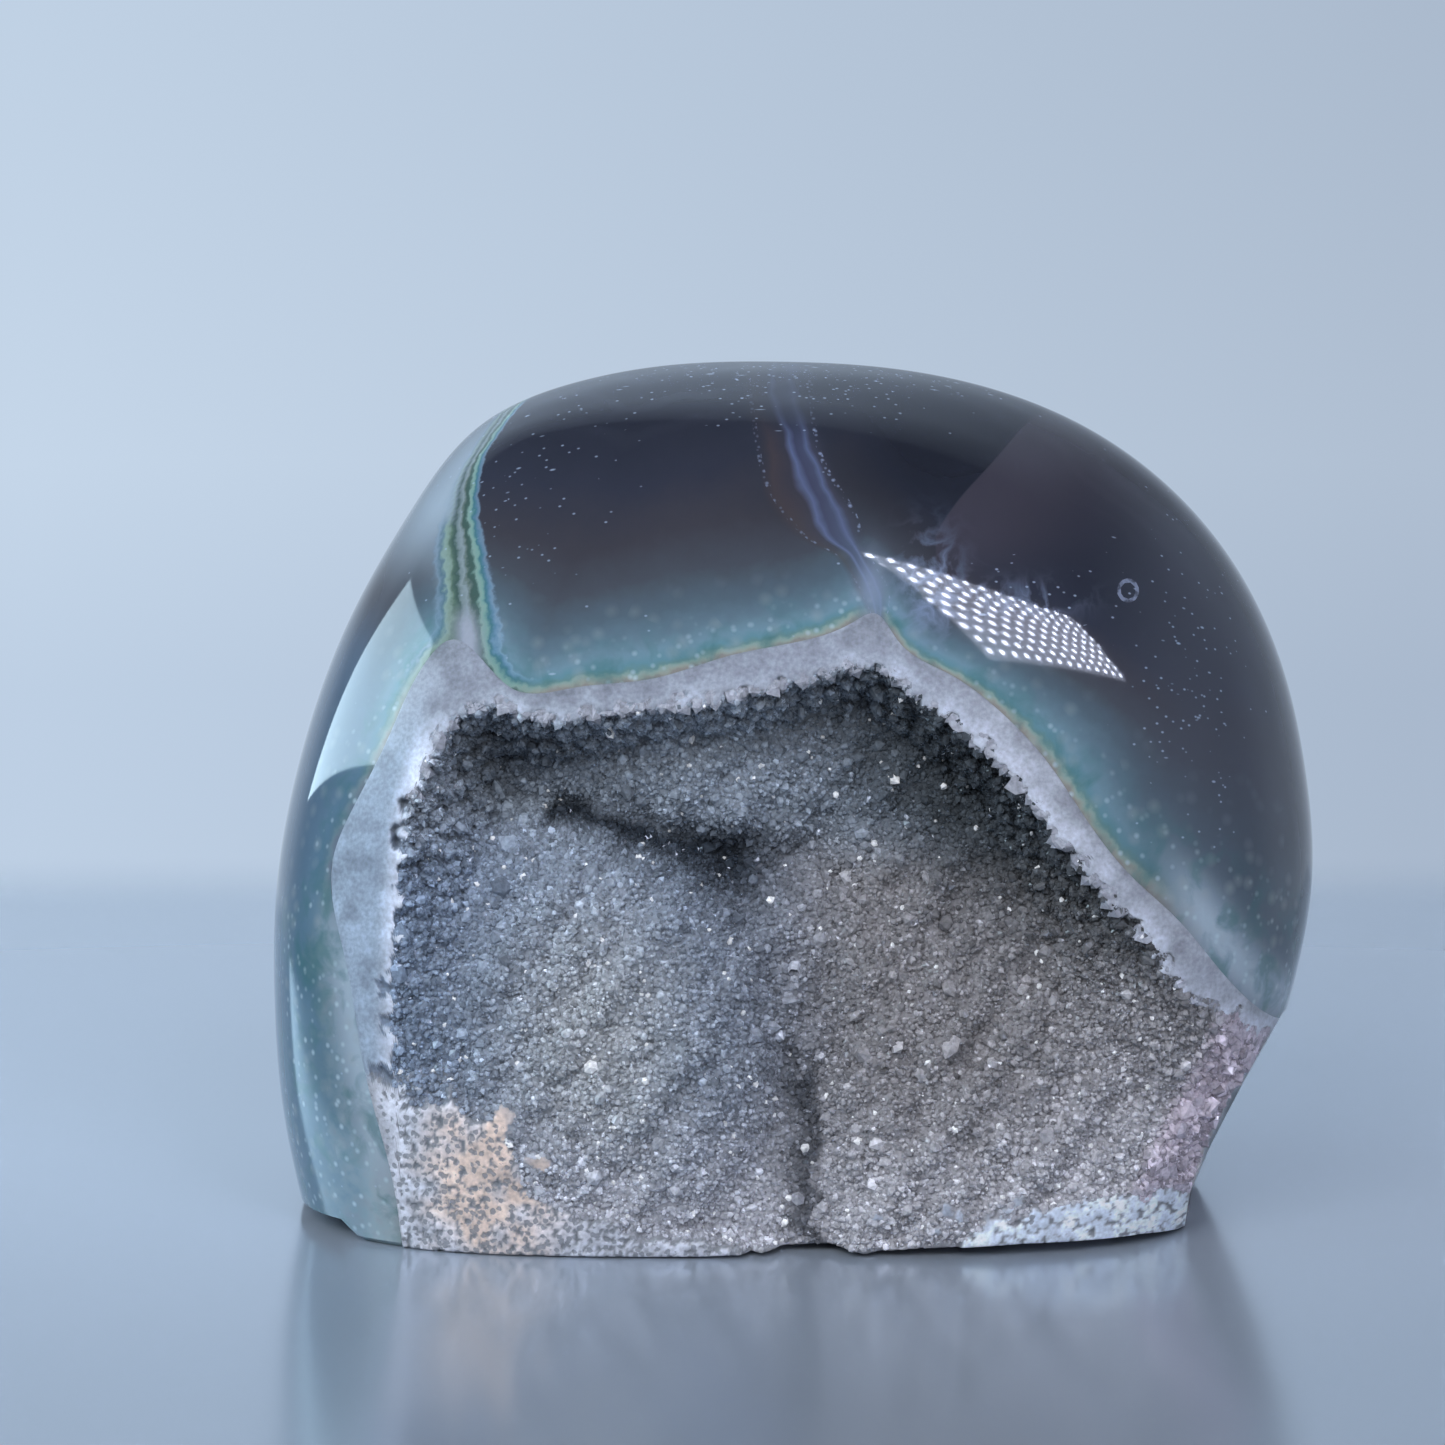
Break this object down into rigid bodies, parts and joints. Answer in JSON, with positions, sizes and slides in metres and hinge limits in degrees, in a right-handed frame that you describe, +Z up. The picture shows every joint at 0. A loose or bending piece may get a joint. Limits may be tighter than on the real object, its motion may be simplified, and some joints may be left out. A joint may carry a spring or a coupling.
{
  "type": "druzy agate freeform",
  "caption": "Polished dome of dark agate, cut flat underneath, whose open front shows a hollow lined with fine grey quartz crystals.",
  "frame": {"origin": "middle of the flat base, at the height of the surface it stands on", "axes": "+Z up, +X along the long side, to the right seen from the front, -Y out of the open front"},
  "size_m": [0.0952, 0.059, 0.0771],
  "materials": {
    "polished_agate": "polished",
    "druzy_quartz": "satin"
  },
  "bodies": {
    "root": {"agate_stone": "polished_agate", "druzy_crust": "druzy_quartz"}
  },
  "joints": []
}
